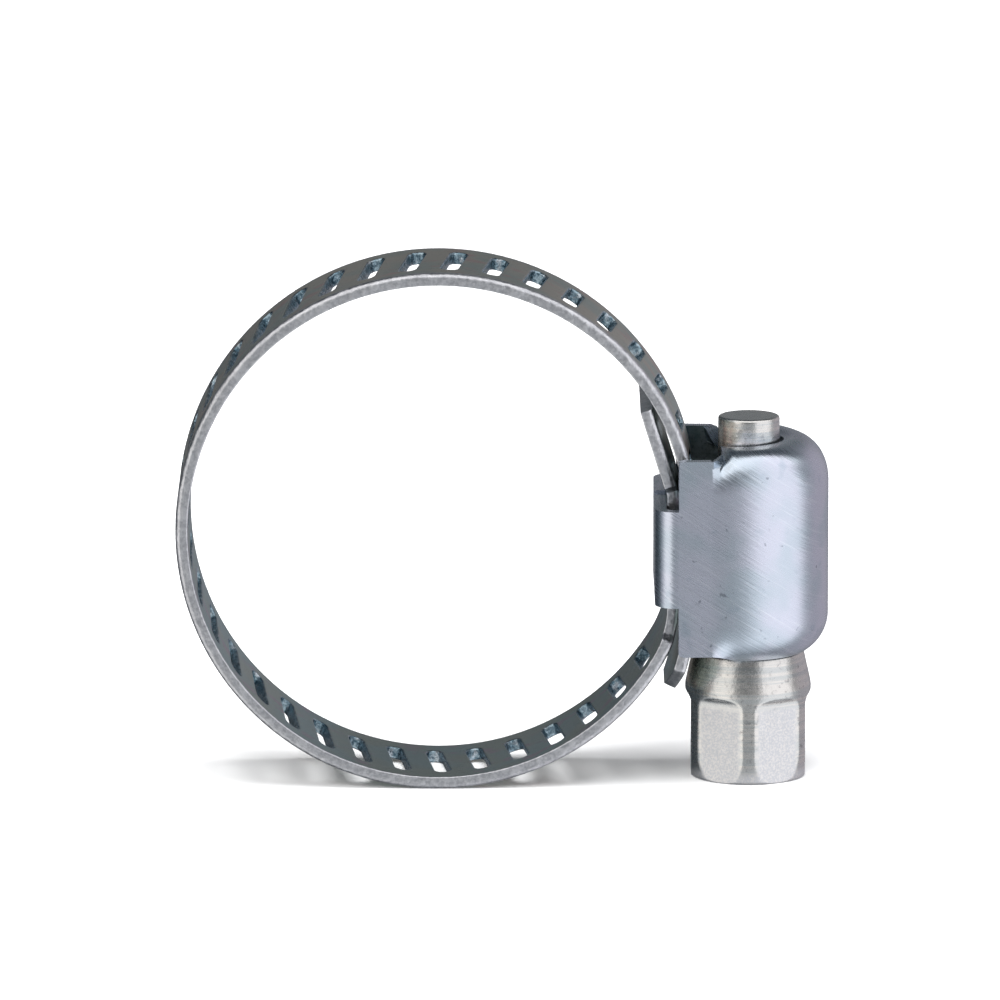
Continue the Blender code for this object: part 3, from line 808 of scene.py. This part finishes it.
def add_housing(outside, inside):
    """The stamped housing: a dome over the screw, two walls, and two flaps under the fixed end."""
    half = housing_outline()
    mirrored = [(x, -y, part) for x, y, part in half[:-1]]
    outline = mirrored + list(reversed(half))
    levels = housing_levels()
    flap = (levels.index(("z", FLAP_BOTTOM_Z)), levels.index(("z", FLAP_TOP_Z)))
    points = []
    for x, y, _ in outline:
        for level in levels:
            point_x, point_y, point_z = housing_point(x, abs(y), level)
            points.append(CENTRE + Vector((point_x, copysign(point_y, y), point_z)))
    rows = len(levels)
    faces = []
    for column in range(len(outline) - 1):
        is_flap = "flap" in (outline[column][2], outline[column + 1][2])
        first, last = flap if is_flap else (0, rows - 1)
        for row in range(first, last):
            corner = column * rows + row
            faces.append((corner, corner + rows, corner + rows + 1, corner + 1))
    mesh = bpy.data.meshes.new("housing_shell")
    mesh.from_pydata(points, [], faces)
    work = bmesh.new()
    work.from_mesh(mesh)
    loose = [vertex for vertex in work.verts if not vertex.link_faces]
    bmesh.ops.delete(work, geom=loose, context="VERTS")
    work.to_mesh(mesh)
    work.free()
    mesh.materials.append(outside)
    mesh.materials.append(inside)
    mesh.shade_smooth()
    shell = add_object("housing_shell", mesh)
    thickness = shell.modifiers.new("sheet", "SOLIDIFY")
    thickness.thickness = SHEET
    thickness.offset = -1.0
    thickness.use_even_offset = True
    thickness.material_offset = 1
    rounded = shell.modifiers.new("rolled_edges", "BEVEL")
    rounded.width = SHEET_EDGE_ROUND
    rounded.segments = 3
    rounded.limit_method = "ANGLE"
    rounded.angle_limit = SHEET_EDGE_ANGLE
    rounded.harden_normals = True
    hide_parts("housing")
    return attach(shell, "housing")


# ================================================================ materials
UNTURNED = (0.0, 0.0, 0.0)
SCRATCH_SLANT = radians(-34)
FINE_SCRATCH_SLANT = radians(-31)
FROST_RADII_MM = (3.16, 3.26)
FROST_FADE_MM = (-0.1, 0.3)
DISPLAY_GAMMA = 2.2


class Nodes:
    """Short calls that add and link the nodes of one tree."""

    def __init__(self, tree):
        self.tree = tree

    def add(self, kind, settings=(), **inputs):
        node = self.tree.nodes.new(kind)
        for name, value in dict(settings).items():
            setattr(node, name, value)
        for name, value in inputs.items():
            self.feed(node.inputs[name.replace("_", " ")], value)
        return node

    def feed(self, socket, value):
        """Link a node's output to the socket, or set the socket to a plain value."""
        if isinstance(value, bpy.types.NodeSocket):
            self.tree.links.new(value, socket)
        else:
            socket.default_value = value

    def maths(self, operation, *values):
        node = self.tree.nodes.new("ShaderNodeMath")
        node.operation = operation
        for socket, value in zip(node.inputs, values):
            self.feed(socket, value)
        return node.outputs[0]

    def ramp(self, value, low, high, start=0.0, end=1.0):
        """A smooth change from start to end while the value goes from low to high."""
        node = self.tree.nodes.new("ShaderNodeMapRange")
        node.interpolation_type = "SMOOTHSTEP"
        for name, number in (("From Min", low), ("From Max", high), ("To Min", start), ("To Max", end)):
            node.inputs[name].default_value = number
        self.feed(node.inputs["Value"], value)
        return node.outputs["Result"]

    def mix(self, share, first, second):
        """The first colour where the share is 0 and the second where it is 1."""
        node = self.tree.nodes.new("ShaderNodeMix")
        node.data_type = "RGBA"
        for socket, value in zip((node.inputs[0], node.inputs[6], node.inputs[7]), (share, first, second)):
            self.feed(socket, value)
        return node.outputs[2]

    def noise(self, place, scale, detail=2.0, roughness=0.5):
        node = self.add("ShaderNodeTexNoise", Scale=scale, Detail=detail, Roughness=roughness)
        self.feed(node.inputs["Vector"], place)
        return node.outputs["Fac"]

    def stretched(self, place, turn, size):
        """The place turned and then scaled, so that a noise on it runs in lines."""
        turned = self.add("ShaderNodeMapping", Rotation=turn)
        self.feed(turned.inputs["Vector"], place)
        scaled = self.add("ShaderNodeMapping", Scale=size)
        self.feed(scaled.inputs["Vector"], turned.outputs["Vector"])
        return scaled.outputs["Vector"]


def rgb(red, green, blue):
    """A linear colour from 0-255 display values."""
    return tuple((value / 255) ** DISPLAY_GAMMA for value in (red, green, blue)) + (1.0,)


def new_metal(name):
    """A Principled metal, its node helper, and the place in millimetres on the resting object."""
    material = bpy.data.materials.new(name)
    material.use_nodes = True
    nodes = Nodes(material.node_tree)
    shader = material.node_tree.nodes["Principled BSDF"]
    shader.inputs["Metallic"].default_value = 1.0
    place = nodes.add("ShaderNodeTexCoord").outputs["Object"]
    place = nodes.stretched(place, UNTURNED, (MM_PER_METRE, MM_PER_METRE, MM_PER_METRE))
    return material, nodes, shader, place


def strip_place(nodes):
    """The place on the flat strip in millimetres: along it and across it."""
    uv = nodes.add("ShaderNodeUVMap", {"uv_map": "strip"}).outputs["UV"]
    mm_per_uv = MM_PER_METRE / UV_PER_METRE
    return nodes.stretched(uv, UNTURNED, (mm_per_uv, mm_per_uv, mm_per_uv))


def bumped(nodes, shader, height, depth):
    """Give the surface a relief of the given depth in metres."""
    bump = nodes.add("ShaderNodeBump", Strength=1.0, Distance=depth)
    nodes.feed(bump.inputs["Height"], height)
    nodes.feed(shader.inputs["Normal"], bump.outputs["Normal"])


def band_metal(name, colour, tint, stain, roughness):
    """Rolled and plated strip: cloudy plating colours, fine rolling lines and small pits."""
    material, nodes, shader, _ = new_metal(name)
    flat = strip_place(nodes)
    clouds = nodes.noise(flat, scale=0.22, detail=2.0)
    narrowed = nodes.stretched(flat, UNTURNED, (1.0, 1.6, 1.0))
    patches = nodes.noise(narrowed, scale=0.5, detail=3.0)
    base = nodes.mix(nodes.ramp(clouds, 0.40, 0.62), colour, tint)
    base = nodes.mix(nodes.ramp(patches, 0.55, 0.68, 0.0, 0.75), base, stain)
    rolled = nodes.stretched(flat, UNTURNED, (1.2, 22.0, 1.0))
    grain = nodes.noise(rolled, scale=1.0, detail=3.0)
    pits = nodes.noise(flat, scale=14.0, detail=2.0, roughness=0.7)
    base = nodes.mix(nodes.ramp(pits, 0.60, 0.74, 0.0, 0.35), base, rgb(60, 64, 66))
    nodes.feed(shader.inputs["Base Color"], base)
    rough = nodes.maths("MULTIPLY_ADD", grain, 0.16, roughness - 0.08)
    nodes.feed(shader.inputs["Roughness"], rough)
    height = nodes.maths("MULTIPLY_ADD", grain, 0.5, nodes.maths("MULTIPLY", pits, 0.5))
    bumped(nodes, shader, height, depth=0.000012)
    return material


def sheared_metal(name, colour, dark, roughness, depth):
    """A sheared or punched face: mottled, torn and rough, with painted glints on its beads."""
    material, nodes, shader, place = new_metal(name)
    mottle = nodes.noise(place, scale=4.5, detail=4.0, roughness=0.65)
    beads_and_glints = nodes.noise(place, scale=1.9, detail=2.0)
    base = nodes.mix(nodes.ramp(mottle, 0.35, 0.65), dark, colour)
    # The near-white mix on the beads is painted glints, standing in for highlights on the sheared burrs.
    base = nodes.mix(nodes.ramp(beads_and_glints, 0.50, 0.64, 0.0, 0.5), base, rgb(235, 235, 238))
    nodes.feed(shader.inputs["Base Color"], base)
    nodes.feed(shader.inputs["Roughness"], nodes.maths("MULTIPLY_ADD", mottle, 0.2, roughness - 0.1))
    height = nodes.maths("MULTIPLY_ADD", beads_and_glints, 1.6, mottle)
    bumped(nodes, shader, height, depth)
    return material


def housing_metal():
    """Bright blue zinc on the stamped sheet, with fine slanting scratches and soft stains."""
    material, nodes, shader, place = new_metal("housing_zinc")
    drawn = nodes.stretched(place, (0, SCRATCH_SLANT, 0), (0.22, 0.4, 7.5))
    lines = nodes.noise(drawn, scale=1.0, detail=3.0, roughness=0.6)
    finely_drawn = nodes.stretched(place, (0, FINE_SCRATCH_SLANT, 0), (0.5, 1.0, 26.0))
    fine = nodes.noise(finely_drawn, scale=1.0, detail=2.0)
    clouds = nodes.noise(place, scale=0.35, detail=2.0)
    stains = nodes.noise(place, scale=0.8, detail=3.0)
    base = nodes.mix(nodes.ramp(clouds, 0.38, 0.62), rgb(198, 209, 220), rgb(213, 216, 230))
    base = nodes.mix(nodes.ramp(stains, 0.58, 0.72, 0.0, 0.5), base, rgb(176, 190, 204))
    base = nodes.mix(nodes.ramp(lines, 0.56, 0.70, 0.0, 0.35), base, rgb(236, 240, 248))
    scuffs = nodes.noise(place, scale=2.1, detail=2.0)
    base = nodes.mix(nodes.ramp(scuffs, 0.70, 0.76, 0.0, 0.6), base, rgb(120, 126, 138))
    nodes.feed(shader.inputs["Base Color"], base)
    nodes.feed(shader.inputs["Roughness"], nodes.maths("MULTIPLY_ADD", fine, 0.16, 0.20))
    height = nodes.maths("MULTIPLY_ADD", lines, 0.7, nodes.maths("MULTIPLY", fine, 0.3))
    bumped(nodes, shader, height, depth=0.000022)
    return material


def housing_inside_metal():
    """The sheet's inner side and cut edges: greener and dull where the plating is thin, and darker as
    painted shade of the housing's inside.
    """
    material, nodes, shader, place = new_metal("housing_inside")
    clouds = nodes.noise(place, scale=0.7, detail=3.0)
    grain = nodes.noise(place, scale=6.0, detail=3.0, roughness=0.65)
    # The dark base colours are painted shade for the inside of the housing.
    base = nodes.mix(nodes.ramp(clouds, 0.38, 0.62), rgb(92, 112, 116), rgb(120, 132, 138))
    base = nodes.mix(nodes.ramp(grain, 0.50, 0.66, 0.0, 0.5), base, rgb(70, 84, 88))
    nodes.feed(shader.inputs["Base Color"], base)
    nodes.feed(shader.inputs["Roughness"], nodes.maths("MULTIPLY_ADD", grain, 0.2, 0.26))
    bumped(nodes, shader, grain, depth=0.00001)
    return material


def screw_metal():
    """Plated screw steel: turned rings round the collar and journal, frosted flats on the head."""
    material, nodes, shader, place = new_metal("screw_zinc")
    parts = nodes.add("ShaderNodeSeparateXYZ")
    nodes.feed(parts.inputs[0], place)
    height_mm = parts.outputs["Z"]
    head_top = (CENTRE.z + HEX_TOP_Z) * MM_PER_METRE
    off_x = nodes.maths("SUBTRACT", parts.outputs["X"], (CENTRE.x + SCREW_X) * MM_PER_METRE)
    square_x = nodes.maths("POWER", off_x, 2.0)
    square_y = nodes.maths("POWER", parts.outputs["Y"], 2.0)
    distance = nodes.maths("SQRT", nodes.maths("ADD", square_x, square_y))
    on_flat = nodes.maths(
        "MULTIPLY",
        nodes.ramp(height_mm, head_top + FROST_FADE_MM[0], head_top + FROST_FADE_MM[1], 1.0, 0.0),
        nodes.ramp(distance, *FROST_RADII_MM, 1.0, 0.0),
    )
    frost = nodes.noise(place, scale=9.0, detail=4.0, roughness=0.7)
    flattened = nodes.stretched(place, UNTURNED, (0.15, 0.15, 6.5))
    rings = nodes.noise(flattened, scale=1.0, detail=3.0, roughness=0.6)
    specks = nodes.noise(place, scale=3.4, detail=3.0, roughness=0.65)
    turned = nodes.mix(nodes.ramp(rings, 0.4, 0.62), rgb(206, 208, 207), rgb(228, 224, 219))
    turned = nodes.mix(nodes.ramp(specks, 0.57, 0.70, 0.0, 0.55), turned, rgb(132, 130, 134))
    frosted = nodes.mix(nodes.ramp(frost, 0.42, 0.62), rgb(219, 220, 223), rgb(241, 238, 236))
    nodes.feed(shader.inputs["Base Color"], nodes.mix(on_flat, turned, frosted))
    smooth = nodes.maths("MULTIPLY_ADD", specks, 0.22, 0.16)
    rough = nodes.maths("ADD", smooth, nodes.maths("MULTIPLY", on_flat, 0.26))
    nodes.feed(shader.inputs["Roughness"], rough)
    relief = nodes.maths("MULTIPLY_ADD", rings, 0.4, nodes.maths("MULTIPLY", specks, 0.7))
    bumped(nodes, shader, relief, depth=0.00002)
    return material


# ================================================================ studio
CAMERA_TARGET = CENTRE + Vector((0.00325, 0.0, 0.00095))
CAMERA_DISTANCE = 0.7
CAMERA_ELEVATION = radians(11.05)
LENS_MM = 479.0
SENSOR_MM = 36.0
FLOOR_CORNERS = [(-3, -3, 0), (3, -3, 0), (3, 9, 0), (-3, 9, 0)]


def add_camera():
    """The view along the ring's axis, from a little above it."""
    scene = bpy.context.scene
    data = bpy.data.cameras.new("camera")
    camera = add_object("camera", data)
    data.sensor_width = SENSOR_MM
    data.lens = LENS_MM
    away = Vector((0.0, -cos(CAMERA_ELEVATION), sin(CAMERA_ELEVATION)))
    camera.location = CAMERA_TARGET + CAMERA_DISTANCE * away
    camera.rotation_euler = away.to_track_quat("Z", "Y").to_euler()
    data.clip_start = 0.01
    data.clip_end = 10.0
    scene.camera = camera
    scene.view_settings.view_transform = "Standard"


def add_floor():
    """A matt pale floor under the lowest point, which the metal does not mirror."""
    mesh = bpy.data.meshes.new("floor")
    mesh.from_pydata(FLOOR_CORNERS, [], [(0, 1, 2, 3)])
    material = bpy.data.materials.new("floor")
    material.use_nodes = True
    shader = material.node_tree.nodes["Principled BSDF"]
    shader.inputs["Base Color"].default_value = (0.9, 0.9, 0.9, 1.0)
    shader.inputs["Roughness"].default_value = 0.9
    mesh.materials.append(material)
    floor = add_object("floor", mesh)
    floor.visible_glossy = False
    return floor


def add_softbox(name, azimuth, elevation, distance, size, power):
    """An area light that faces the clamp; azimuth 0 is the camera's side and 90 is +X."""
    data = bpy.data.lights.new(name, "AREA")
    data.shape = "RECTANGLE"
    data.size, data.size_y = size
    data.energy = power
    light = add_object(name, data)
    turn, rise = radians(azimuth), radians(elevation)
    away = Vector((sin(turn) * cos(rise), -cos(turn) * cos(rise), sin(rise)))
    light.location = CENTRE + distance * away
    light.rotation_euler = away.to_track_quat("Z", "Y").to_euler()
    return light


BACK_LOW = (0.23, 0.24, 0.25, 1.0)
BACK_HIGH = (0.06, 0.07, 0.08, 1.0)
BACK_FADE = (5, 45)
# Each box is (azimuth from, to, softness), (elevation from, to, softness), strength and colour.
STUDIO_BOXES = [
    ((-165, -70, 5), (-95, 95, 5), 0.95, (0.04, 0.05, 0.06, 1.0)),
    ((100, 160, 15), (-60, 30, 15), 1.0, (0.44, 0.42, 0.46, 1.0)),
    ((-95, 100, 12), (-95, -2, 4), 1.0, (0.50, 0.52, 0.55, 1.0)),
    ((-100, 110, 12), (28, 82, 7), 1.0, (1.45, 1.45, 1.46, 1.0)),
    ((22, 88, 5), (-60, 60, 12), 1.0, (1.12, 1.13, 1.17, 1.0)),
    ((-72, -27, 5), (-60, 60, 12), 1.0, (1.12, 1.11, 1.09, 1.0)),
    ((-26, 21, 4), (-40, 26, 8), 1.0, (0.18, 0.19, 0.20, 1.0)),
    ((-26, 21, 4), (-60, -6, 6), 1.0, (0.46, 0.48, 0.50, 1.0)),
]


def add_world():
    """The studio that the metal mirrors: bright side and top boxes, a dark strip ahead, a dim back.

    Directions are an azimuth, 0 at the camera's side and 90 at +X, and an elevation, in degrees.
    The back goes from its low shade to its high one over the elevations of BACK_FADE.
    """
    world = bpy.data.worlds.new("studio")
    bpy.context.scene.world = world
    world.use_nodes = True
    nodes = Nodes(world.node_tree)
    parts = nodes.add("ShaderNodeSeparateXYZ")
    nodes.feed(parts.inputs[0], nodes.add("ShaderNodeTexCoord").outputs["Generated"])
    x, y, z = parts.outputs
    degree = 180 / pi
    azimuth = nodes.maths("MULTIPLY", nodes.maths("ARCTAN2", x, nodes.maths("MULTIPLY", y, -1.0)), degree)
    elevation = nodes.maths("MULTIPLY", nodes.maths("ARCSINE", z), degree)

    def within(value, low, high, soft):
        """1 between two angles and 0 outside them, with soft edges."""
        rise = nodes.ramp(value, low - soft, low + soft)
        fall = nodes.ramp(value, high - soft, high + soft, 1.0, 0.0)
        return nodes.maths("MULTIPLY", rise, fall)

    colour = nodes.mix(nodes.ramp(elevation, *BACK_FADE), BACK_LOW, BACK_HIGH)
    for (low, high, soft), (bottom, top, blur), strength, shade in STUDIO_BOXES:
        beside = within(azimuth, low, high, soft)
        above = within(elevation, bottom, top, blur)
        inside = nodes.maths("MULTIPLY", beside, above)
        colour = nodes.mix(nodes.maths("MULTIPLY", inside, strength), colour, shade)
    background = world.node_tree.nodes["Background"]
    nodes.feed(background.inputs["Color"], colour)


def add_lights():
    """The studio that the metal mirrors, and two area lights that leave no glint on it."""
    add_world()
    overhead = add_softbox(
        "softbox_overhead", azimuth=10, elevation=80, distance=0.6, size=(0.5, 0.5), power=5.0
    )
    front = add_softbox(
        "softbox_front", azimuth=-20, elevation=35, distance=0.7, size=(0.5, 0.4), power=3.0
    )
    for light in (overhead, front):
        light.visible_glossy = False


band_materials = [
    band_metal("band_outer", rgb(196, 190, 178), rgb(174, 184, 178), rgb(200, 170, 166), 0.30),
    band_metal("band_inner", rgb(152, 175, 178), rgb(162, 174, 168), rgb(174, 156, 174), 0.30),
    sheared_metal("band_edge", rgb(218, 218, 221), rgb(190, 191, 195), 0.36, 0.000035),
    sheared_metal("slot_wall", rgb(186, 206, 216), rgb(84, 110, 124), 0.22, 0.00009),
]
line, marks = build_centreline()
add_band(line, marks, band_materials)
add_screw(screw_metal(), line.at(marks["tail_start"] - SLOT_PITCH / 2)[0][1])
add_housing(housing_metal(), housing_inside_metal())
add_camera()
add_floor()
add_lights()
